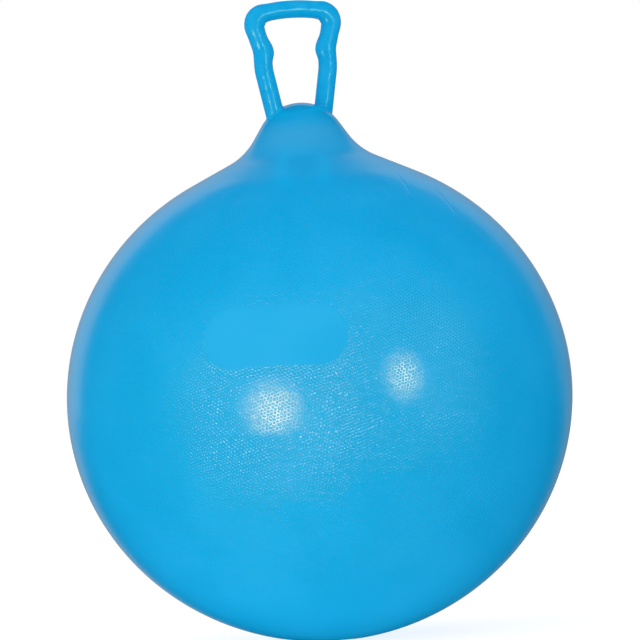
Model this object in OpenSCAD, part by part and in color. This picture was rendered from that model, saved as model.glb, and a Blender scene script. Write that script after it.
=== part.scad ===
// Hopper ball: a bouncing ball to sit on, with a loop handle on top.
// The ball, its neck and the handle are one soft vinyl moulding. The valve seat is
// bonded into the back of the ball, and a plug pushes into it.
// The ball stands on the origin with +Z up, and the loop of the handle lies along X.

/* [Ball] */

// Diameter of the blown up ball, side to side
ball_d = 660; // [560:5:760]
// Height of the ball, were its curve to close above and below
ball_h = 638; // [560:2:740]
// Wall of the blown up ball
ball_wall = 1.2; // [1:0.1:3]
// Diameter of the patch that its weight presses flat on the floor
contact_d = 80; // [40:2:120]

/* [Neck] */

// Diameter of the ring where the neck leaves the ball
neck_foot_d = 292; // [270:2:320]
// Height of the neck and its dome above the top of the ball's own curve
neck_h = 66; // [56:1:90]
// Radius of the dome that closes the neck
dome_r = 60; // [54:1:64]
// Angle between the side of the neck and the upright
neck_lean = 33; // [28:1:38]
// Radius of the hollow bend between the neck and the ball
neck_bend_r = 82; // [50:1:95]
// Wall of the neck and its dome
neck_wall = 3; // [2:0.25:6]

/* [Handle] */

// Height of the handle above the dome
handle_h = 134; // [124:1:160]
// Thickness of the handle's round top bar
bar_d = 23; // [18:0.5:27]
// Width of its legs
leg_w = 24.6; // [20:0.2:28]
// How much thicker the bar is through the two top corners
corner_swell = 4.8; // [0:0.2:8]
// How much wider the bar is where it joins the dome
foot_swell = 1.8; // [0:0.2:5]
// Length of the flare at the foot of each leg
foot_flare_l = 9; // [5:0.5:14]
// Between the middles of the legs, level with the top of the dome
foot_span = 72; // [64:1:78]
// Between the middles of the legs at the waist
waist_span = 89; // [80:1:98]
// Height of the lower end of the waist above the dome
waist_low_h = 45; // [40:1:56]
// Height of the upper end of the waist above the dome
waist_high_h = 70; // [64:1:76]
// Between the two top corners of the bar's middle line
shoulder_span = 115; // [104:1:124]
// Radius of the middle line at the top corners
corner_r = 17; // [12:0.5:20]
// Radius of the middle line where a leg bends in to its foot
waist_low_r = 70; // [30:5:90]
// Radius of the middle line where a leg bends out to its corner
waist_high_r = 40; // [20:5:55]
// Radius of the arch of the top bar
arch_r = 220; // [120:10:260]
// Angle at which the top bar leaves its corners, off the level
arch_slope = 10.3; // [6:0.1:11]
// How far each finger stop stands into the loop
stop_rise = 3.2; // [0:0.2:5]
// Height of the finger stops above the dome
stop_h = 68; // [62:1:76]
// Length of the slope above a finger stop
stop_upper_l = 19; // [12:1:24]
// Length of the slope below a finger stop
stop_lower_l = 15; // [6:1:18]

/* [Valve] */

// Angle of the valve above the ball's middle, on the back
valve_tilt = 12; // [5:1:30]
// Diameter of the thick pad in the wall round the valve
pad_d = 46; // [42:1:52]
// Thickness of the pad, from the ball's outer face
pad_t = 5; // [4.5:0.25:7]
// Diameter of the valve seat in the hole of the wall
seat_d = 26; // [25:0.5:30]
// Depth of the seat's face below the ball's outer face
seat_recess = 0.5; // [0.4:0.1:0.8]
// Diameter of the seat's flange on the inside of the pad
flange_d = 38; // [32:1:41]
// Thickness of the flange
flange_t = 2; // [1.5:0.25:3]
// Diameter of the sleeve that reaches into the ball
sleeve_d = 15; // [13.5:0.5:18]
// Depth of the sleeve's end below the ball's outer face
sleeve_depth = 22; // [20:1:26]
// Diameter of the bore that the plug's stem slides in
bore_d = 9.6; // [8.5:0.1:10.5]
// Gap around the stem in its bore
stem_gap = 0.05; // [0.02:0.01:0.09]
// Diameter of the plug's head
head_d = 18; // [15:0.5:20]
// Thickness of the plug's head
head_t = 2.2; // [1.6:0.1:3]
// Gap around the head in its recess
head_gap = 0.4; // [0.2:0.1:0.8]
// Round on the upper edge of the plug's head
head_round = 1; // [0.4:0.1:1.4]
// Diameter of the dimple in the head, where a fingernail starts the plug
dimple_d = 7; // [4:0.5:10]
// Depth of that dimple
dimple_t = 0.8; // [0.4:0.1:1.2]
// Length of the plug's stem
stem_l = 16; // [14:0.5:17.5]
// Depth of the grooves between the stem's sealing rings
groove_t = 0.6; // [0.3:0.1:1]
// Number of sealing rings on the stem
ring_count = 3; // [2:1:4]
// Width of a sealing ring
ring_w = 1.6; // [1:0.1:2]
// Length of the stem's tapered nose
nose_l = 4; // [3:0.5:5]
// Diameter of the end of the nose
nose_d = 6; // [4:0.5:7]

/* [Hidden] */

vinyl_blue = [0.08, 0.66, 0.89];
seat_blue = [0.06, 0.55, 0.78];
plug_white = [0.93, 0.92, 0.87];

$fn = 96;
// Degrees between two points on the curve of the ball
ball_turn = 4;
// Pieces in a half circle of the smaller arcs of an outline
arc_pieces = 36;
// Greatest distance between two rings of the handle
ring_step = 3.5;
// Sides of the handle's bar
bar_sides = 20;
// How far the legs run on inside the dome before they are cut to it
leg_run = 32;
// How far a cut runs past the face that it opens through
overrun = 1;

ball_r = ball_d / 2;
half_h = ball_h / 2;
// The middle of the ball stands this high, because the floor presses a patch flat
mid_z = half_h * sqrt(1 - pow(contact_d / ball_d, 2));
dome_top = mid_z + half_h + neck_h;

function unit(v) = v / norm(v);
function crossed(a, b) = a.x * b.y - a.y * b.x;
function reversed(list) = [for (i = [len(list) - 1:-1:0]) list[i]];
// An even rise from 0 to 1 that starts and ends level
function eased(t) = let (c = max(0, min(1, t))) c * c * (3 - 2 * c);
// Where the line through p along u meets the line through q along v
function meeting(p, u, q, v) = p + u * crossed(q - p, v) / crossed(u, v);

// Points on the arc that rounds the corner at b, between the lines to a and c
function corner_arc(a, b, c, r) =
    let (
        u = unit(a - b),
        v = unit(c - b),
        half = acos(u * v) / 2,
        middle = b + unit(u + v) * r / sin(half),
        from = b + u * r / tan(half) - middle,
        to = b + v * r / tan(half) - middle,
        start = atan2(from.y, from.x),
        turn = atan2(crossed(from, to), from * to),
        n = max(1, ceil(abs(turn) / 180 * arc_pieces))
    )
    [for (i = [0:n]) middle + r * [cos(start + turn * i / n), sin(start + turn * i / n)]];

// The outer outline of the moulding from the floor up to the dome, as distance from
// the axis and height: a flat patch, an ellipse, a line, a hollow bend, a line, a dome
low_turn = -acos(contact_d / ball_d);
high_turn = acos(neck_foot_d / ball_d);
low_steps = ceil(-low_turn / ball_turn);
high_steps = ceil(high_turn / ball_turn);
ball_curve = [
    for (i = [-low_steps:high_steps])
        let (t = i < 0 ? -low_turn * i / low_steps : high_turn * i / high_steps)
            [ball_r * cos(t), mid_z + half_h * sin(t)]
];
neck_start = ball_curve[low_steps + high_steps];
neck_way = [-ball_r * sin(high_turn), half_h * cos(high_turn)];
dome_middle = [0, dome_top - dome_r];
dome_start = dome_middle + dome_r * [cos(neck_lean), sin(neck_lean)];
neck_corner = meeting(neck_start, neck_way, dome_start, [-sin(neck_lean), cos(neck_lean)]);
neck_curve = corner_arc(neck_start, neck_corner, dome_start, neck_bend_r);
dome_steps = ceil((90 - neck_lean) / ball_turn);
dome_curve = [
    for (i = [0:dome_steps])
        let (t = neck_lean + (90 - neck_lean) * i / dome_steps)
            i < dome_steps ? dome_middle + dome_r * [cos(t), sin(t)] : [0, dome_top]
];
outline = concat([[0, 0]], ball_curve, neck_curve, dome_curve);

// The same outline moved in by the wall, which thickens up the neck
function wall_at(z) = ball_wall + (neck_wall - ball_wall)
    * eased((z - neck_start.y) / (dome_start.y - neck_start.y));
inner_outline = [
    for (i = [0:len(outline) - 1])
        let (
            last = len(outline) - 1,
            way = i == 0 || i == last ? [0, 0] : unit(outline[i + 1] - outline[i - 1]),
            in_way = i == 0 ? [0, 1] : i == last ? [0, -1] : [-way.y, way.x]
        )
            outline[i] + in_way * wall_at(outline[i].y)
];

module moulding_core() {
    rotate_extrude() polygon(outline);
}

// The valve's own place: its axis along +Z, its zero on the ball's outer face
valve_r = sqrt(pow(ball_r * cos(valve_tilt), 2) + pow(half_h * sin(valve_tilt), 2));
valve_spot = [
    0,
    ball_r * ball_r * cos(valve_tilt) / valve_r,
    mid_z + half_h * half_h * sin(valve_tilt) / valve_r
];
module at_valve() {
    translate(valve_spot) rotate([valve_tilt - 90, 0, 0]) children();
}
// How far the ball's face falls away at a distance from the valve's axis
function fall(d) = ball_r - sqrt(ball_r * ball_r - d * d / 4);
// The pad's upper face lies inside the wall at its rim and at its hole
pad_top = (fall(pad_d) + fall(seat_d) + ball_wall) / 2;
head_seat = seat_recess + head_t;
stem_d = bore_d - 2 * stem_gap;

module ball_skin() {
    color(vinyl_blue)
        difference() {
            union() {
                rotate_extrude() polygon(concat(outline, reversed(inner_outline)));
                at_valve()
                    translate([0, 0, -pad_t])
                        cylinder(d = pad_d, h = pad_t - pad_top);
            }
            at_valve()
                translate([0, 0, -pad_t - overrun])
                    cylinder(d = seat_d, h = pad_t + 2 * overrun);
        }
}

module valve_seat() {
    color(seat_blue)
        at_valve()
            rotate_extrude()
                polygon([
                    [bore_d / 2, -sleeve_depth],
                    [sleeve_d / 2, -sleeve_depth],
                    [sleeve_d / 2, -pad_t - flange_t],
                    [flange_d / 2, -pad_t - flange_t],
                    [flange_d / 2, -pad_t],
                    [seat_d / 2, -pad_t],
                    [seat_d / 2, -seat_recess],
                    [head_d / 2 + head_gap, -seat_recess],
                    [head_d / 2 + head_gap, -head_seat],
                    [bore_d / 2, -head_seat]
                ]);
}

// One side of the stem from under the head: a ring, a groove, and so on to the nose
ring_pitch = (stem_l - nose_l - ring_w) / (ring_count - 1);
stem_side = [
    for (i = [0:ring_count - 1])
        let (z = -ring_pitch * i)
            each i < ring_count - 1
                ? [
                    [stem_d / 2, z],
                    [stem_d / 2, z - ring_w],
                    [stem_d / 2 - groove_t, z - ring_w - groove_t],
                    [stem_d / 2 - groove_t, z - ring_pitch]
                ]
                : [[stem_d / 2, z], [stem_d / 2, z - ring_w]]
];

module valve_plug() {
    color(plug_white)
        at_valve()
            translate([0, 0, -head_seat])
                difference() {
                    rotate_extrude()
                        polygon(concat(
                            [[0, head_t]],
                            corner_arc([0, head_t], [head_d / 2, head_t], [head_d / 2, 0], head_round),
                            [[head_d / 2, 0]],
                            stem_side,
                            [[nose_d / 2, -stem_l], [0, -stem_l]]
                        ));
                    translate([0, 0, head_t - dimple_t])
                        cylinder(d = dimple_d, h = dimple_t + overrun);
                }
}

// The middle line of the handle's bar, as X and height, from the left leg's lower
// end to the middle of the arch. The legs lean out to a waist, bend out again above
// it to the top corners, and the bar arches over between them.
arch_sag = arch_r * (1 / cos(arch_slope) - 1);
arch_top = dome_top + handle_h - bar_d / 2;
corner_z = arch_top + arch_sag - tan(arch_slope) * shoulder_span / 2;
leg_slant = (waist_span - foot_span) / 2 / waist_low_h;
foot_end = [-foot_span / 2 + leg_slant * leg_run, dome_top - leg_run];
waist_low = [-waist_span / 2, dome_top + waist_low_h];
waist_high = [-waist_span / 2, dome_top + waist_high_h];
shoulder = [-shoulder_span / 2, corner_z];
arch_corner = [0, arch_top + arch_sag];
corner_curve = corner_arc(waist_high, shoulder, arch_corner, corner_r);
corner_middle = corner_curve[floor(len(corner_curve) / 2)];
arch_curve = corner_arc(shoulder, arch_corner, [-shoulder.x, shoulder.y], arch_r);
half_bends = concat(
    [foot_end],
    corner_arc(foot_end, waist_low, waist_high, waist_low_r),
    corner_arc(waist_low, waist_high, shoulder, waist_high_r),
    corner_curve,
    [for (p = arch_curve) if (p.x < -overrun) p]
);
bends = concat(half_bends, [[0, arch_top]], [for (p = reversed(half_bends)) [-p.x, p.y]]);
// The long straights are cut into even lengths, so that the bar can swell along them
middle_line = [
    for (i = [0:len(bends) - 1])
        let (
            step = i == 0 ? [0, 0] : bends[i] - bends[i - 1],
            n = max(1, ceil(norm(step) / ring_step))
        )
            each i == 0 ? [bends[0]] : [for (k = [1:n]) bends[i - 1] + step * k / n]
];

// Half the bar's thickness at a point p of its middle line, in the plane of the loop
function bar_half(p) =
    let (
        from_corner = norm([-abs(p.x), p.y] - corner_middle) / bar_d,
        down_leg = (corner_z - p.y) / bar_d,
        off_dome = (norm(p - dome_middle) - dome_r) / foot_flare_l
    )
    (
        bar_d
        + (leg_w - bar_d) * eased(down_leg)
        + corner_swell * eased(1 - from_corner)
        + foot_swell * pow(eased(1 - off_dome), 2)
    ) / 2;
// How far a finger stop adds to the inner side there
function stop_at(p) =
    let (d = p.y - dome_top - stop_h)
    stop_rise * eased(1 - (d > 0 ? d / stop_upper_l : -d / stop_lower_l));
function bar_ring(i) =
    let (
        p = middle_line[i],
        next = middle_line[min(i + 1, len(middle_line) - 1)],
        way = unit(next - middle_line[max(i - 1, 0)]),
        inward = [way.y, -way.x],
        half = bar_half(p)
    )
    [
        for (k = [0:bar_sides - 1])
            let (
                t = 360 * k / bar_sides,
                across = cos(t) * (half + (cos(t) > 0 ? stop_at(p) : 0)),
                at = p + inward * across
            )
                [at.x, bar_d / 2 * sin(t), at.y]
    ];

module bar() {
    rings = len(middle_line);
    polyhedron(
        points = [for (i = [0:rings - 1]) each bar_ring(i)],
        faces = concat(
            [
                for (i = [0:rings - 2], k = [0:bar_sides - 1])
                    let (
                        a = i * bar_sides + k,
                        b = i * bar_sides + (k + 1) % bar_sides
                    )
                        each [[a, b, b + bar_sides], [a, b + bar_sides, a + bar_sides]]
            ],
            [for (k = [1:bar_sides - 2]) [0, k + 1, k]],
            [
                for (k = [1:bar_sides - 2])
                    let (a = (rings - 1) * bar_sides) [a, a + k, a + k + 1]
            ]
        )
    );
}

module handle() {
    color(vinyl_blue)
        difference() {
            bar();
            moulding_core();
        }
}

ball_skin();
handle();
valve_seat();
valve_plug();
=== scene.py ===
import math

import bpy
import numpy as np
from mathutils import Matrix, Vector


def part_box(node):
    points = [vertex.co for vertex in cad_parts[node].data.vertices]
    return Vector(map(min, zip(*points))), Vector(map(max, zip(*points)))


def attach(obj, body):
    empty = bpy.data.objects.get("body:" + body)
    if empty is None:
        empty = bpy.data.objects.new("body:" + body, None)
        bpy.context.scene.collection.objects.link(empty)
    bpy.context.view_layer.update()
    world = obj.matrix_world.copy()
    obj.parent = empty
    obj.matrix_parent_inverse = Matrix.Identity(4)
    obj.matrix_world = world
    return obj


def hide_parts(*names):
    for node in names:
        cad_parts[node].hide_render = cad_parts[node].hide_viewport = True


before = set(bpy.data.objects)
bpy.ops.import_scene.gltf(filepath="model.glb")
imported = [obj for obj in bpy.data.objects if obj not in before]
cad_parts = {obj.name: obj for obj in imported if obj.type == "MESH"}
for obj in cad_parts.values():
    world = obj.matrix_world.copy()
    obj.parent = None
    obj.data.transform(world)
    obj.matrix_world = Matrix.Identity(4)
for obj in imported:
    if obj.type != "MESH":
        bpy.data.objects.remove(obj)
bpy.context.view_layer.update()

# Camera. It stands 7.4 m away with a long lens, about level with the middle of the ball and
# 20 degrees round from the face of the handle. The ball leans by 4 degrees in the
# photograph, so the camera leans by as much the other way.
ball_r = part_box("ball_skin")[1].x
ball_h = 0.638
half_h = ball_h / 2
contact_d = 0.08
mid_z = half_h * math.sqrt(1 - (contact_d / 2 / ball_r) ** 2)
ball_mid = Vector((0, 0, mid_z))
camera_azimuth = math.radians(-19.57)
camera_elevation = math.radians(0.229)
camera_lean = math.radians(4.137)
camera_distance = 7.446
camera_aside = 0.0004
camera_above = 0.1003
lens_mm = 320.7
sensor_mm = 36
clip_end = 100


def direction(azimuth, elevation):
    """The way from the object to someone who looks at it from there."""
    return Vector((
        math.sin(azimuth) * math.cos(elevation),
        -math.cos(azimuth) * math.cos(elevation),
        math.sin(elevation),
    ))


to_camera = direction(camera_azimuth, camera_elevation)
level = Vector((math.cos(camera_azimuth), math.sin(camera_azimuth), 0))
upright = to_camera.cross(level)
camera_right = math.cos(camera_lean) * level - math.sin(camera_lean) * upright
camera_up = math.sin(camera_lean) * level + math.cos(camera_lean) * upright
camera = bpy.data.objects.new("camera", bpy.data.cameras.new("camera"))
camera.data.lens = lens_mm
camera.data.sensor_width = sensor_mm
camera.data.clip_end = clip_end
camera.matrix_world = Matrix.Translation(
    ball_mid + camera_distance * to_camera + camera_aside * camera_right + camera_above * camera_up
) @ Matrix((camera_right, camera_up, to_camera)).transposed().to_4x4()
bpy.context.scene.collection.objects.link(camera)
bpy.context.scene.camera = camera
bpy.context.scene.view_settings.view_transform = "Standard"

# Studio light. White surroundings fill in from all round, a white backdrop stands behind
# the ball, and the rest of the studio is dark where the vinyl mirrors it. All of it is a
# little dimmer low on the right. Two softboxes beside the camera give the two highlights.
fill_bright = 1.055
fill_dim = 0.90
backdrop_bright = 0.42
backdrop_dim = 0.12
backdrop_dim_reach = 0.5
backdrop_edge = math.radians(40.5)
backdrop_blur = 0.03
dim_way = 0.62 * level - 0.78 * Vector((0, 0, 1))
softbox_core = 0.05
softbox_rim = 0.5


def put(tree, kind, inputs=None, **settings):
    """Adds a shader node. Each input is a value, or the socket that feeds it."""
    node = tree.nodes.new("ShaderNode" + kind)
    for name, value in settings.items():
        setattr(node, name, value)
    for name, value in (inputs or {}).items():
        if isinstance(value, bpy.types.NodeSocket):
            tree.links.new(value, node.inputs[name])
        else:
            node.inputs[name].default_value = value
    return node


def calc(tree, operation, *values, clamp=False):
    """A sum on one or two numbers, by a Math node."""
    return put(
        tree, "Math", dict(enumerate(values)), operation=operation, use_clamp=clamp
    ).outputs[0]


def product(tree, first, *others):
    """Several numbers multiplied together."""
    for value in others:
        first = calc(tree, "MULTIPLY", first, value)
    return first


def total(tree, first, *others):
    """Several numbers added up."""
    for value in others:
        first = calc(tree, "ADD", first, value)
    return first


def calc_vector(tree, operation, *values):
    """A sum on vectors, by a Vector Math node. A length is a number."""
    node = put(tree, "VectorMath", dict(enumerate(values)), operation=operation)
    return node.outputs[1 if operation in ("LENGTH", "DOT_PRODUCT") else 0]


def dot(tree, vector, way):
    """How far a vector goes that way."""
    return calc_vector(tree, "DOT_PRODUCT", vector, way)


def ramp(tree, value, low, high, start=0.0, end=1.0):
    """Eases from start to end while value goes from low to high."""
    return put(
        tree,
        "MapRange",
        {"Value": value, "From Min": low, "From Max": high, "To Min": start, "To Max": end},
        interpolation_type="SMOOTHSTEP",
    ).outputs[0]


def choose(tree, switch, off, on):
    """The first number where switch is 0, and the second where it is 1."""
    return ramp(tree, switch, 0, 1, off, on)


world = bpy.data.worlds.new("studio")
bpy.context.scene.world = world
world.use_nodes = True
world.cycles.sampling_method = "NONE"
tree = world.node_tree
tree.nodes.clear()
ray = put(tree, "LightPath").outputs
way = put(tree, "TexCoord").outputs["Generated"]
dimness = dot(tree, way, dim_way)
behind = dot(tree, way, -to_camera)
fill = ramp(tree, dimness, -1, 1, fill_bright, fill_dim)
backdrop = product(
    tree,
    ramp(
        tree, behind, math.cos(backdrop_edge + backdrop_blur), math.cos(backdrop_edge - backdrop_blur)
    ),
    ramp(tree, dimness, -backdrop_dim_reach, backdrop_dim_reach, backdrop_bright, backdrop_dim),
)
straight = calc(tree, "MAXIMUM", ray["Is Camera Ray"], ray["Is Transmission Ray"])
seen = choose(tree, straight, choose(tree, ray["Is Glossy Ray"], fill, backdrop), 1)
background = put(tree, "Background", {"Color": (1, 1, 1, 1), "Strength": seen})
tree.links.new(background.outputs[0], put(tree, "OutputWorld").inputs["Surface"])


def softbox(name, azimuth, elevation, distance, width, height, radiance, colour):
    """A softbox that fades from its middle to its rim, set up so that its image stands where
    the ball mirrors that way to the camera. All angles are in degrees: its azimuth is counted
    from the camera's, and its width and height are how large it looks from the ball."""
    way = direction(camera_azimuth + math.radians(azimuth), math.radians(elevation))
    shining_spot = ball_mid + ball_r * (way + to_camera).normalized()
    lamp = bpy.data.lights.new(name, "AREA")
    lamp.shape = "ELLIPSE"
    lamp.size = 2 * distance * math.tan(math.radians(width / 2))
    lamp.size_y = 2 * distance * math.tan(math.radians(height / 2))
    lamp.energy = radiance * math.pi * math.pi / 4 * lamp.size * lamp.size_y
    lamp.color = colour
    lamp.use_nodes = True
    tree = lamp.node_tree
    tree.nodes.clear()
    spot = put(tree, "NewGeometry").outputs["Parametric"]
    off_middle = calc_vector(tree, "LENGTH", calc_vector(tree, "SUBTRACT", spot, (0.5, 0.5, 0)))
    glow = put(tree, "Emission", {
        "Strength": ramp(tree, off_middle, softbox_core, softbox_rim, 1, 0),
    })
    tree.links.new(glow.outputs[0], put(tree, "OutputLight").inputs["Surface"])
    piece = bpy.data.objects.new(name, lamp)
    piece.location = shining_spot + distance * way
    piece.rotation_mode = "QUATERNION"
    piece.rotation_quaternion = way.to_track_quat("Z", "Y")
    bpy.context.scene.collection.objects.link(piece)


softbox(
    "softbox_left", azimuth=-21.4, elevation=-3.3, distance=1.1, width=38.5, height=39.5,
    radiance=9.2, colour=(1, 0.80, 0.42),
)
softbox(
    "softbox_right", azimuth=38.9, elevation=7.4, distance=1.6, width=26.5, height=32.5,
    radiance=7.0, colour=(1, 0.98, 0.74),
)

# Floor. A plain white table that is lit from below, so that the ball is bright underneath
# too. It stays white for the camera and holds the ball's shadow. What the vinyl mirrors of
# it is white in a wedge that opens behind the ball, and dark on either side and in front.
floor_half = 12
floor_white = (0.3, 0.3, 0.3, 1)
floor_glow = 0.78
floor_fill_colour = (1, 0.99, 0.95, 1)
floor_fill_near = 1.09
floor_fill_far = 0.74
floor_near_r = 0.1
floor_far_r = 0.8
floor_left = 1.35
floor_right = 0.92
floor_side_reach = 0.7
wedge_bright = 0.34
wedge_dim = 0.19
wedge_dim_reach = 0.5
wedge_edge = math.radians(34.5)
wedge_blur = 0.12
wedge_tip = 0.12 * to_camera
wedge_start = 0.12
floor_mesh = bpy.data.meshes.new("floor")
floor_mesh.from_pydata(
    [(x * floor_half, y * floor_half, 0) for x, y in ((-1, -1), (1, -1), (1, 1), (-1, 1))],
    [],
    [(0, 1, 2, 3)],
)
floor = bpy.data.objects.new("floor", floor_mesh)
bpy.context.scene.collection.objects.link(floor)
table_white = bpy.data.materials.new("table_white")
table_white.use_nodes = True
tree = table_white.node_tree
tree.nodes.clear()
ray = put(tree, "LightPath").outputs
place = put(tree, "NewGeometry").outputs["Position"]
way = calc_vector(tree, "NORMALIZE", calc_vector(tree, "SUBTRACT", place, wedge_tip))
behind = dot(tree, way, -to_camera)
to_right = dot(tree, way, level)
mirrored = product(
    tree,
    ramp(tree, dot(tree, place, -to_camera), 0, wedge_start),
    ramp(tree, behind, math.cos(wedge_edge + wedge_blur), math.cos(wedge_edge - wedge_blur)),
    ramp(tree, to_right, -wedge_dim_reach, wedge_dim_reach, wedge_bright, wedge_dim),
)
from_ball = calc_vector(tree, "LENGTH", place)
sideways = dot(tree, place, level)
fill = product(
    tree,
    ramp(tree, from_ball, floor_near_r, floor_far_r, floor_fill_near, floor_fill_far),
    ramp(tree, sideways, -floor_side_reach, floor_side_reach, floor_left, floor_right),
)
shine = put(tree, "Emission", {
    "Color": floor_fill_colour,
    "Strength": choose(tree, ray["Is Glossy Ray"], fill, mirrored),
})
seen = put(tree, "AddShader", {
    0: put(tree, "BsdfDiffuse", {"Color": floor_white}).outputs[0],
    1: put(tree, "Emission", {"Strength": floor_glow}).outputs[0],
})
straight = calc(tree, "MAXIMUM", ray["Is Camera Ray"], ray["Is Transmission Ray"])
both = put(tree, "MixShader", {0: straight, 1: shine.outputs[0], 2: seen.outputs[0]})
tree.links.new(both.outputs[0], put(tree, "OutputMaterial").inputs["Surface"])
floor_mesh.materials.append(table_white)

# Ball, neck and dome. One hollow moulding of soft vinyl, cast in a mould that turns, and
# blown up hard. The ball is pebbled with fine round pimples; the neck, the dome, a panel
# in front and a disc round the valve are smooth.
neck_foot_d = 0.292
neck_h = 0.066
neck_lean = math.radians(33)
neck_bend_r = 0.082
dome_r = 0.060
dome_top = mid_z + half_h + neck_h
dome_foot_z = dome_top - dome_r * (1 - math.sin(neck_lean))
valve_tilt = math.radians(12)
valve_disc_r = 0.030
rounds = 288
ball_step = math.radians(1.25)
bend_step = math.radians(2.5)
dome_steps = 25
patch_rings = (0.35, 0.7)
valve_block_half = 10
valve_block_rings = (0.2, 0.4, 0.6, 0.8)


def unit(v):
    """Vectors of the same way and of length one."""
    return np.asarray(v, float) / np.linalg.norm(v, axis=-1, keepdims=True)


def crossed(a, b):
    """The cross product of two flat vectors."""
    return a[0] * b[1] - a[1] * b[0]


def corner_arc(a, b, c, radius, step=bend_step):
    """Points on the arc that rounds the corner at b, between the lines to a and c."""
    a, b, c = (np.asarray(p, float) for p in (a, b, c))
    u, v = unit(a - b), unit(c - b)
    half = math.acos(u @ v) / 2
    middle = b + unit(u + v) * radius / math.sin(half)
    start = b + u * radius / math.tan(half) - middle
    end = b + v * radius / math.tan(half) - middle
    turn = math.atan2(crossed(start, end), start @ end)
    angles = math.atan2(start[1], start[0]) + np.linspace(0, turn, math.ceil(abs(turn) / step) + 1)
    return middle + radius * np.stack([np.cos(angles), np.sin(angles)], 1)


def moulding_outline():
    """The outline as distance from the axis and height, from the floor to the dome."""
    low, high = -math.acos(contact_d / 2 / ball_r), math.acos(neck_foot_d / 2 / ball_r)
    t = np.linspace(low, high, math.ceil((high - low) / ball_step) + 1)
    ball = np.stack([ball_r * np.cos(t), mid_z + half_h * np.sin(t)], 1)
    along = np.array([-ball_r * math.sin(high), half_h * math.cos(high)])
    dome_middle = np.array([0, dome_top - dome_r])
    dome_start = dome_middle + dome_r * np.array([math.cos(neck_lean), math.sin(neck_lean)])
    lean = np.array([-math.sin(neck_lean), math.cos(neck_lean)])
    corner = ball[-1] + along * crossed(dome_start - ball[-1], lean) / crossed(along, lean)
    bend = corner_arc(ball[-1], corner, dome_start, neck_bend_r)
    t = np.linspace(neck_lean, math.pi / 2, dome_steps + 1)[:-1]
    dome = dome_middle + dome_r * np.stack([np.cos(t), np.sin(t)], 1)
    patch = np.stack([contact_d / 2 * np.array(patch_rings), np.zeros(len(patch_rings))], 1)
    return np.concatenate([patch, ball, bend, dome])


def new_piece(name, points, faces, body, slot, *nodes):
    """Links a smooth mesh that rides on a body and stands for CAD nodes."""
    mesh = bpy.data.meshes.new(name)
    mesh.from_pydata([tuple(map(float, p)) for p in points], [], [tuple(map(int, f)) for f in faces])
    mesh.shade_smooth()
    piece = bpy.data.objects.new(name, mesh)
    bpy.context.scene.collection.objects.link(piece)
    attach(piece, body)
    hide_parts(*nodes)
    return piece


def ring_faces(first, second):
    """Quads between two rings of as many vertices."""
    n = len(first)
    return [(first[i], first[(i + 1) % n], second[(i + 1) % n], second[i]) for i in range(n)]


valve_r = math.hypot(ball_r * math.cos(valve_tilt), half_h * math.sin(valve_tilt))
valve_spot = np.array([
    0,
    ball_r ** 2 * math.cos(valve_tilt) / valve_r,
    mid_z + half_h ** 2 * math.sin(valve_tilt) / valve_r,
])
valve_axis = np.array([0, math.cos(valve_tilt), math.sin(valve_tilt)])
valve_up = np.array([0, -math.sin(valve_tilt), math.cos(valve_tilt)])
valve_side = np.array([1.0, 0, 0])


def on_ball(points):
    """Moves points to the ball's face along lines from its middle."""
    off = points - np.array(ball_mid)
    scaled = off / np.array([ball_r, ball_r, half_h])
    return np.array(ball_mid) + off / np.linalg.norm(scaled, axis=1, keepdims=True)


outline = moulding_outline()
turns = np.arange(rounds) * 2 * math.pi / rounds
grid = np.stack([
    outline[:, :1] * np.cos(turns),
    outline[:, :1] * np.sin(turns),
    np.repeat(outline[:, 1:], rounds, 1),
], 2)
points = [*grid.reshape(-1, 3), (0, 0, 0), (0, 0, dome_top)]
number = np.arange(len(outline) * rounds).reshape(len(outline), rounds)
# The block of faces round the valve is left open, and rings round the hole fill it in again
valve_row = int(np.argmin(np.linalg.norm(grid[:, rounds // 4] - valve_spot, axis=1)))
rows = range(valve_row - valve_block_half, valve_row + valve_block_half)
columns = range(rounds // 4 - valve_block_half, rounds // 4 + valve_block_half)
faces = [
    (number[j, i], number[j, (i + 1) % rounds], number[j + 1, (i + 1) % rounds], number[j + 1, i])
    for j in range(len(outline) - 1)
    for i in range(rounds)
    if not (j in rows and i in columns)
]
bottom, top = len(points) - 2, len(points) - 1
faces += [(bottom, number[0, (i + 1) % rounds], number[0, i]) for i in range(rounds)]
faces += [(top, number[-1, i], number[-1, (i + 1) % rounds]) for i in range(rounds)]
low, high = rows[0], rows[-1] + 1
left, right = columns[0], columns[-1] + 1
edge = (
    [number[low, i] for i in range(left, right)]
    + [number[j, right] for j in range(low, high)]
    + [number[high, i] for i in range(right, left, -1)]
    + [number[j, left] for j in range(high, low, -1)]
)
outer = np.array([points[i] for i in edge])
from_valve = outer - valve_spot
spokes = unit(np.outer(from_valve @ valve_side, valve_side) + np.outer(from_valve @ valve_up, valve_up))
disc_rim = on_ball(valve_spot + valve_disc_r * spokes)
inward = [on_ball(outer + (disc_rim - outer) * share) for share in valve_block_rings]
# Each ring's radius and its rise off the ball: the bead round the valve, the hole's
# rounded lip and its wall
ring_shape = [
    (valve_disc_r, 0), (0.0265, 0), (0.0247, 0.0001), (0.0238, 0.0004), (0.0230, 0.0007),
    (0.0221, 0.0008), (0.0212, 0.0007), (0.0204, 0.0004), (0.0195, 0.0001), (0.0178, 0),
    (0.0155, 0), (0.0140, 0), (0.01345, -0.0001), (0.0131, -0.0004), (0.0130, -0.0009),
    (0.0130, -0.0045),
]
for radius, rise in ring_shape:
    inward.append(on_ball(valve_spot + radius * spokes) + rise * valve_axis)
last = edge
for ring in inward:
    here = list(range(len(points), len(points) + len(ring)))
    points += list(ring)
    faces += ring_faces(last, here)
    last = here
ball = new_piece("ball_and_neck", points, faces, "ball", "grained_vinyl", "ball_skin")

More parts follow.
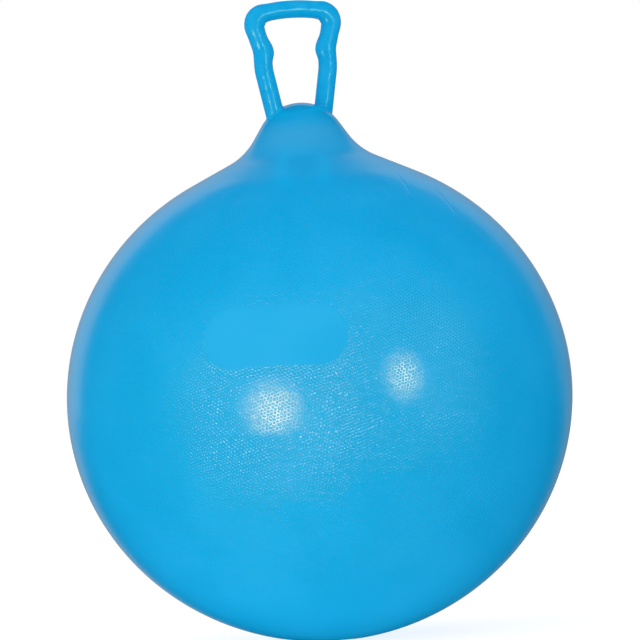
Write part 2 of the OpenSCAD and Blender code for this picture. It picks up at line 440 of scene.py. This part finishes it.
# The pebbles are laid out on a map of the ball in 14 sheets, each flat as film wrapped on
# a mould: six large ones round the axes and eight small ones at the corners between them
map_span = 1.08
map_tiles = {"plain": (0.25, 0.25), "front": (0.75, 0.25), "top": (0.25, 0.75), "back": (0.75, 0.75)}
sheet_turn = math.radians(17)
large_sheet_gain = 0.2
pole_limit = 0.9
tiny = 1e-9
above = Vector((0, 0, 1))
ahead = Vector((to_camera.x, to_camera.y, 0)).normalized()
large_sheets = [
    ("front", ahead), ("back", -ahead), ("top", above),
    ("plain", -above), ("plain", level), ("plain", -level),
]
small_sheets = [
    ("plain", (a * ahead + b * level + c * above).normalized())
    for a in (-1, 1) for b in (-1, 1) for c in (-1, 1)
]
sheets = large_sheets + small_sheets
middles = np.array([way for _, way in sheets])
gain = np.array([large_sheet_gain] * len(large_sheets) + [0] * len(small_sheets))
mesh = ball.data
corners = np.zeros(len(mesh.loops), int)
mesh.loops.foreach_get("vertex_index", corners)
face_sizes = np.zeros(len(mesh.polygons), int)
mesh.polygons.foreach_get("loop_total", face_sizes)
face_middles = np.zeros(len(mesh.polygons) * 3)
mesh.polygons.foreach_get("center", face_middles)
where = unit(face_middles.reshape(-1, 3) - np.array(ball_mid))
sheet = np.repeat(np.argmax(where @ middles.T + gain, axis=1), face_sizes)
way = unit(np.array(points)[corners] - np.array(ball_mid))
centre = middles[sheet]
at_pole = abs(centre[:, 2:]) > pole_limit
east = unit(np.cross(np.where(at_pole, [[0, 1, 0]], [[0, 0, 1]]), centre))
east = math.cos(sheet_turn) * east + math.sin(sheet_turn) * np.cross(centre, east)
north = np.cross(centre, east)
cosine = np.clip((way * centre).sum(1), -1, 1)
off = way - cosine[:, None] * centre
arc = ball_r * np.arccos(cosine) / np.maximum(np.linalg.norm(off, axis=1), tiny)
tile = np.array([map_tiles[name] for name, _ in sheets])[sheet]
uv = tile + np.stack([(off * east).sum(1) * arc, (off * north).sum(1) * arc], 1) / map_span
mesh.uv_layers.new(name="OFBake").data.foreach_set("uv", uv.ravel())

# Round pebbles stand close together in rows, as in a honeycomb. The rows wander slowly over
# many pebbles and quickly over a few, and the pebbles differ a little in size. A wander is
# a noise's scale and its reach in pebbles, and a noise is its scale and its detail.
vinyl_blue = (0.001, 0.382, 0.82, 1)
vinyl_roughness = 0.12
vinyl_ior = 1.65
vinyl_specular = 1.0
vinyl_tint = (0.93, 0.77, 0.26, 1)
noise_reach = 0.2
pebble_pitch = 0.0045
pebble_r = 0.00185
pebble_rise = 0.00045
pebble_crown = 1.1
slow_wander = (0.1, 1.8)
quick_wander = (0.75, 0.8)
size_noise = (0.6, 0.0)
size_noise_reach = 0.25
size_change = 0.1


def noise(tree, vector, scale, detail):
    """A noise with so many lumps to a unit of the vector, and so much detail on them."""
    return put(tree, "TexNoise", {"Vector": vector, "Scale": scale, "Detail": detail}).outputs["Fac"]


def vary(tree, uneven, low, high, reach=noise_reach):
    """Lets a noise, which seldom strays further from 0.5 than reach, run from low to high."""
    return ramp(tree, uneven, 0.5 - reach, 0.5 + reach, low, high)


def wander(tree, vector, scale, reach):
    """How far a point of the map strays, up to about half of reach either way."""
    lumps = put(tree, "TexNoise", {"Vector": vector, "Scale": scale, "Detail": 1.0})
    off = calc_vector(tree, "SUBTRACT", lumps.outputs["Color"], (0.5, 0.5, 0.5))
    return calc_vector(tree, "MULTIPLY", off, (reach, reach, 0))


def vinyl(name, colour, roughness):
    """A plastic with a vinyl's shine, its node tree and its Principled node. The plain colour
    and roughness are for viewers that don't follow the nodes."""
    material = bpy.data.materials.new(name)
    material.use_nodes = True
    tree = material.node_tree
    shader = tree.nodes["Principled BSDF"]
    shader.inputs["Base Color"].default_value = colour
    shader.inputs["Roughness"].default_value = roughness
    shader.inputs["IOR"].default_value = vinyl_ior
    shader.inputs["Specular IOR Level"].default_value = vinyl_specular
    shader.inputs["Specular Tint"].default_value = vinyl_tint
    return material, tree, shader


def skin(tree, shader, rise, roughness, colour):
    """Gives a material the rise of its skin in metres, its roughness and its colour."""
    bump = put(tree, "Bump", {"Distance": 1.0, "Height": rise})
    tree.links.new(bump.outputs[0], shader.inputs["Normal"])
    tree.links.new(roughness, shader.inputs["Roughness"])
    tree.links.new(colour, shader.inputs["Base Color"])


grained_vinyl, tree, shader = vinyl("grained_vinyl", vinyl_blue, vinyl_roughness)
place = put(tree, "TexCoord").outputs["Object"]
flat = calc_vector(
    tree,
    "MULTIPLY",
    put(tree, "UVMap", uv_map="OFBake").outputs["UV"],
    (map_span / pebble_pitch, map_span / pebble_pitch, 0),
)
strayed = calc_vector(tree, "ADD", flat, wander(tree, flat, *slow_wander))
strayed = calc_vector(tree, "ADD", strayed, wander(tree, flat, *quick_wander))
in_rows = calc_vector(tree, "MULTIPLY", strayed, (1, 1 / math.sqrt(3), 0))
nearest = []
for shift in (0, 0.5):
    moved = calc_vector(tree, "ADD", in_rows, (shift, shift, 0))
    cell = calc_vector(tree, "SUBTRACT", calc_vector(tree, "FRACTION", moved), (0.5, 0.5, 0))
    cell = calc_vector(tree, "MULTIPLY", cell, (1, math.sqrt(3), 0))
    nearest.append(calc_vector(tree, "LENGTH", cell))
from_pebble = calc(tree, "MINIMUM", *nearest)
pebble_size = vary(
    tree,
    noise(tree, flat, *size_noise),
    (1 - size_change) * pebble_r / pebble_pitch,
    (1 + size_change) * pebble_r / pebble_pitch,
    size_noise_reach,
)
share = calc(tree, "DIVIDE", from_pebble, pebble_size)
pebble = calc(tree, "SUBTRACT", 1, product(tree, share, share), clamp=True)
pebble = calc(tree, "POWER", pebble, pebble_crown)

# The mould is smooth above the ball's shoulder, in the panel and in the disc round the valve
smooth_top_z = mid_z + 0.287
grain_end_low = 0.002
grain_end_high = 0.003
panel_azimuth = camera_azimuth - math.radians(9.3)
panel_elevation = math.radians(15.2)
panel_half_l = 0.091
panel_half_w = 0.0395
panel_edge = 0.003
disc_edge = 0.002
height = put(tree, "SeparateXYZ", {0: place}).outputs["Z"]
panel_way = direction(panel_azimuth, panel_elevation)
panel_level = Vector((math.cos(panel_azimuth), math.sin(panel_azimuth), 0))
panel_up = panel_way.cross(panel_level)
off_mid = calc_vector(tree, "SUBTRACT", place, ball_mid)
aside = calc(tree, "ABSOLUTE", dot(tree, off_mid, panel_level))
aside = calc(tree, "MAXIMUM", calc(tree, "SUBTRACT", aside, panel_half_l - panel_half_w), 0)
off_panel = calc_vector(
    tree,
    "LENGTH",
    put(tree, "CombineXYZ", {"X": aside, "Y": dot(tree, off_mid, panel_up)}).outputs[0],
)
bare = product(
    tree,
    ramp(tree, off_panel, panel_half_w - panel_edge, panel_half_w + panel_edge, 1, 0),
    calc(tree, "GREATER_THAN", dot(tree, off_mid, panel_way), 0),
)
off_valve = calc_vector(tree, "LENGTH", calc_vector(tree, "SUBTRACT", place, valve_spot))
grained = product(
    tree,
    ramp(tree, height, smooth_top_z - grain_end_low, smooth_top_z + grain_end_high, 1, 0),
    calc(tree, "SUBTRACT", 1, bare),
    ramp(tree, off_valve, valve_disc_r, valve_disc_r + disc_edge),
)

# Seen at a low angle the pebbles hide their own flanks, so they count for less there. The
# whole skin is a little rippled too.
low_angle_start = 0.3
low_angle_end = 0.62
low_angle_share = 0.22
ripple_noise = (450.0, 1.0)
ripple_rise = 0.00004
facing = put(tree, "LayerWeight", {"Blend": 0.5}).outputs["Facing"]
seen_rise = ramp(
    tree, facing, low_angle_start, low_angle_end, pebble_rise, low_angle_share * pebble_rise
)
rise = total(
    tree,
    product(tree, pebble, grained, seen_rise),
    product(tree, noise(tree, place, *ripple_noise), ripple_rise),
)

# Two creases on the right shoulder, from when the ball lay folded in its box. Each end is
# an azimuth, counted from the camera's, and an elevation in degrees.
creases = (((52.8, 63.0), (42.3, 51.7)), ((60.5, 53.3), (54.3, 43.8)))
crease_w = 0.0032
crease_depth = 0.00045
for ends in creases:
    start, end = (
        ball_mid + (ball_r + half_h) / 2 * direction(camera_azimuth + math.radians(a), math.radians(e))
        for a, e in ends
    )
    run = end - start
    off_start = calc_vector(tree, "SUBTRACT", place, start)
    along = calc(tree, "DIVIDE", dot(tree, off_start, run), run.length_squared, clamp=True)
    off_crease = calc_vector(tree, "SUBTRACT", off_start, calc_vector(tree, "MULTIPLY", run, along))
    off_crease = calc_vector(tree, "LENGTH", off_crease)
    rise = total(tree, rise, ramp(tree, off_crease, 0, crease_w, -crease_depth, 0))

# The pebbles, the panel and the neck are a little duller than the vinyl between the pebbles,
# and the colour of the neck and the dome is darkened as painted shade, since they face up into more
# light. Dye and gloss aren't quite even anywhere.
cloud_noise = (9.0, 3.0)
ball_roughness_range = (0.09, 0.13)
ball_tone_range = (0.975, 1.025)
pebble_dulling = 0.1
panel_dulling = 0.06
neck_dulling = 0.135
neck_edge = 0.006
dome_edge_low = 0.012
dome_edge_high = 0.008
dome_dulling_share = 0.12
neck_painted_shade = 0.08
painted_shade_edge = 0.01
cloudy = noise(tree, place, *cloud_noise)
neck = product(
    tree,
    ramp(tree, height, smooth_top_z - neck_edge, smooth_top_z + neck_edge),
    ramp(
        tree, height, dome_foot_z - dome_edge_low, dome_foot_z + dome_edge_high, 1, dome_dulling_share
    ),
)
roughness = total(
    tree,
    vary(tree, cloudy, *ball_roughness_range),
    product(tree, pebble, grained, pebble_dulling),
    product(tree, neck, neck_dulling),
    product(tree, bare, panel_dulling),
)
# Painted shade: the colour is darkened over the neck and the dome, where they face up into more light
painted_neck_shade = ramp(
    tree, height, smooth_top_z - painted_shade_edge, dome_foot_z + painted_shade_edge, 0, neck_painted_shade
)
tone = calc(tree, "SUBTRACT", vary(tree, cloudy, *ball_tone_range), painted_neck_shade)
skin(tree, shader, rise, roughness, calc_vector(tree, "MULTIPLY", vinyl_blue[:3], tone))
ball.data.materials.append(grained_vinyl)

# Handle. The loop is moulded on the dome in the same shot: a round bar with thicker top
# corners, two finger stops on its inner side and small fillets where its legs leave the
# dome. Its skin is smooth and glossy.
handle_h = 0.134
bar_d = 0.023
leg_w = 0.0246
corner_swell = 0.0048
fillet_r = 0.0035
fillet_least = 0.1
foot_span = 0.072
waist_span = 0.089
waist_low_h = 0.045
waist_high_h = 0.070
shoulder_span = 0.115
corner_r = 0.017
waist_low_r = 0.070
waist_high_r = 0.040
arch_r = 0.220
arch_slope = math.radians(10.3)
arch_step = math.radians(0.5)
stop_rise = 0.0032
stop_h = 0.068
stop_upper_l = 0.019
stop_lower_l = 0.015
leg_run = 0.032
bar_sides = 48
bar_step = 0.0008
smoothing_rounds = 6
arch_top = dome_top + handle_h - bar_d / 2
arch_sag = arch_r * (1 / math.cos(arch_slope) - 1)
corner_z = arch_top + arch_sag - math.tan(arch_slope) * shoulder_span / 2
leg_slant = (waist_span - foot_span) / 2 / waist_low_h
foot_end = (-foot_span / 2 + leg_slant * leg_run, dome_top - leg_run)
waist_low = (-waist_span / 2, dome_top + waist_low_h)
waist_high = (-waist_span / 2, dome_top + waist_high_h)
shoulder = (-shoulder_span / 2, corner_z)
other_shoulder = (shoulder_span / 2, corner_z)
arch_corner = (0, arch_top + arch_sag)
corner_curve = corner_arc(waist_high, shoulder, arch_corner, corner_r)
arch_curve = corner_arc(shoulder, arch_corner, other_shoulder, arch_r, arch_step)
half_bends = np.concatenate([
    [foot_end],
    corner_arc(foot_end, waist_low, waist_high, waist_low_r),
    corner_arc(waist_low, waist_high, shoulder, waist_high_r),
    corner_curve,
    arch_curve[arch_curve[:, 0] < -bar_step],
])
bends = np.concatenate([half_bends, [(0, arch_top)], half_bends[::-1] * [-1, 1]])


def eased(t):
    """Eases from 0 to 1 while t does."""
    t = np.clip(t, 0, 1)
    return t * t * (3 - 2 * t)


def even_line(bends, step):
    """Cuts a line of straights into short and equal lengths."""
    run = np.concatenate([[0], np.cumsum(np.linalg.norm(np.diff(bends, axis=0), axis=1))])
    marks = np.linspace(0, run[-1], round(run[-1] / step) + 1)
    return np.stack([np.interp(marks, run, bends[:, 0]), np.interp(marks, run, bends[:, 1])], 1)


middle_line = even_line(bends, bar_step)
ways = unit(np.gradient(middle_line, axis=0))
for _ in range(smoothing_rounds):
    ways[1:-1] = unit(ways[:-2] + 2 * ways[1:-1] + ways[2:])
inward = np.stack([ways[:, 1], -ways[:, 0]], 1)
corner_middle = corner_curve[len(corner_curve) // 2]
from_corner = np.linalg.norm(
    np.stack([-abs(middle_line[:, 0]), middle_line[:, 1]], 1) - corner_middle, axis=1
)
half = (
    bar_d
    + (leg_w - bar_d) * eased((corner_z - middle_line[:, 1]) / bar_d)
    + corner_swell * eased(1 - from_corner / bar_d)
) / 2
over_stop = middle_line[:, 1] - dome_top - stop_h
stop = stop_rise * eased(
    1 - np.where(over_stop > 0, over_stop / stop_upper_l, -over_stop / stop_lower_l)
)
angles = np.arange(bar_sides) * 2 * math.pi / bar_sides
across = np.cos(angles) * (half[:, None] + np.where(np.cos(angles) > 0, stop[:, None], 0))
bar = np.stack([
    middle_line[:, :1] + inward[:, :1] * across,
    np.repeat(bar_d / 2 * np.sin(angles)[None], len(middle_line), 0),
    middle_line[:, 1:] + inward[:, 1:] * across,
], 2)
# The fillet widens the bar as it nears the dome
off_middle = bar - np.array([0, 0, dome_top - dome_r])
spread = np.stack([
    inward[:, :1] * np.cos(angles),
    np.repeat(np.sin(angles)[None], len(middle_line), 0),
    inward[:, 1:] * np.cos(angles),
], 2)
reach = fillet_r * np.clip(1 - (spread * unit(off_middle)).sum(2), fillet_least, 1)
near = np.clip(1 - (np.linalg.norm(off_middle, axis=2) - dome_r) / reach, 0, 1)
bar += spread * (reach * (1 - np.sqrt(1 - near ** 2)))[:, :, None]
number = np.arange(bar.shape[0] * bar_sides).reshape(-1, bar_sides)
faces = [face for a, b in zip(number[:-1], number[1:]) for face in ring_faces(a, b)]
faces += [tuple(number[0][::-1]), tuple(number[-1])]
handle = new_piece("handle_loop", bar.reshape(-1, 3), faces, "ball", "smooth_vinyl", "handle")

# Its skin is wavy where the mould was dressed by hand, and the mould's two halves leave a
# low line along the middle of the bar
wave_noise = (70.0, 1.5)
wave_rise = 0.0011
speck_noise = (900.0, 2.0)
speck_rise = 0.000012
seam_w = 0.0007
seam_rise = 0.00012
handle_roughness_range = (0.15, 0.22)
handle_tone_range = (0.94, 0.99)
handle_specular = 0.6
handle_tint = (0.4, 0.8, 0.4, 1)
smooth_vinyl, tree, shader = vinyl("smooth_vinyl", vinyl_blue, vinyl_roughness)
shader.inputs["Specular IOR Level"].default_value = handle_specular
shader.inputs["Specular Tint"].default_value = handle_tint
place = put(tree, "TexCoord").outputs["Object"]
waves = noise(tree, place, *wave_noise)
depth = calc(tree, "ABSOLUTE", put(tree, "SeparateXYZ", {0: place}).outputs["Y"])
rise = total(
    tree,
    product(tree, waves, wave_rise),
    product(tree, noise(tree, place, *speck_noise), speck_rise),
    ramp(tree, depth, 0, seam_w, seam_rise, 0),
)
tone = vary(tree, waves, *handle_tone_range)
colour = calc_vector(tree, "MULTIPLY", vinyl_blue[:3], tone)
skin(tree, shader, rise, vary(tree, waves, *handle_roughness_range), colour)
handle.data.materials.append(smooth_vinyl)

# Valve seat. A firmer bush of the same blue vinyl, bonded into the wall, that holds the air
# plug. Its mould was turned, which leaves fine rings on its face, and its skin is satin.
seat_blue = (0.004, 0.33, 0.64)
seat_roughness = 0.38
seat_specular = 0.5
seat_roughness_range = (0.32, 0.46)
seat_tone_range = (0.93, 1.05)
ring_apart = 0.0007
ring_rise = 0.000012
seat_noise = (1400.0, 3.0)
seat_grain_rise = 0.00004
wear_noise = (160.0, 2.0)


def from_bore(tree, place):
    """How far a point is from the valve's axis."""
    off_spot = calc_vector(tree, "SUBTRACT", place, valve_spot)
    return calc_vector(tree, "LENGTH", calc_vector(tree, "CROSS_PRODUCT", off_spot, valve_axis))


def dress(node, material):
    """Gives a CAD node its material in place of the plain one."""
    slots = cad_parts[node].data.materials
    slots.clear()
    slots.append(material)


seat_vinyl, tree, shader = vinyl("seat_vinyl", (*seat_blue, 1), seat_roughness)
shader.inputs["Specular IOR Level"].default_value = seat_specular
place = put(tree, "TexCoord").outputs["Object"]
rings = calc(tree, "SINE", product(tree, from_bore(tree, place), 2 * math.pi / ring_apart))
grain = noise(tree, place, *seat_noise)
rise = total(tree, product(tree, rings, ring_rise), product(tree, grain, seat_grain_rise))
tone = vary(tree, noise(tree, place, *wear_noise), *seat_tone_range)
colour = calc_vector(tree, "MULTIPLY", seat_blue, tone)
skin(tree, shader, rise, vary(tree, grain, *seat_roughness_range), colour)
dress("valve_seat", seat_vinyl)

# Valve plug. The push-in air plug, injection moulded in off-white polyethylene, with a round
# head to grip and three sealing rings on its stem. It has a waxy skin, a low rim and a gate
# mark in the middle of its head, and is a little yellowed.
plug_white = (0.82, 0.80, 0.72, 1)
plug_yellowed = (0.80, 0.75, 0.60, 1)
plug_roughness = 0.42
plug_ior = 1.51
plug_specular = 0.5
plug_tint = (1, 1, 1, 1)
plug_roughness_range = (0.36, 0.5)
plug_noise = (1100.0, 3.0)
plug_grain_rise = 0.00003
blotch_noise = (220.0, 3.0)
blotch_start = 0.35
blotch_full = 0.75
head_rim_r = 0.0062
head_rim_w = 0.0007
head_rim_rise = 0.00025
gate_r = 0.0011
gate_edge = 0.0004
gate_depth = 0.0003
plug_plastic, tree, shader = vinyl("plug_plastic", plug_white, plug_roughness)
shader.inputs["IOR"].default_value = plug_ior
shader.inputs["Specular IOR Level"].default_value = plug_specular
shader.inputs["Specular Tint"].default_value = plug_tint
place = put(tree, "TexCoord").outputs["Object"]
off_axis = from_bore(tree, place)
off_rim = calc(tree, "ABSOLUTE", calc(tree, "SUBTRACT", off_axis, head_rim_r))
grain = noise(tree, place, *plug_noise)
rise = total(
    tree,
    product(tree, grain, plug_grain_rise),
    ramp(tree, off_rim, 0, head_rim_w, head_rim_rise, 0),
    ramp(tree, off_axis, gate_r, gate_r + gate_edge, -gate_depth, 0),
)
blotches = noise(tree, place, *blotch_noise)
plug_tone = put(tree, "Mix", {
    "Factor": ramp(tree, blotches, blotch_start, blotch_full), "A": plug_white, "B": plug_yellowed,
}, data_type="RGBA")
skin(tree, shader, rise, vary(tree, grain, *plug_roughness_range), plug_tone.outputs["Result"])
dress("valve_plug", plug_plastic)
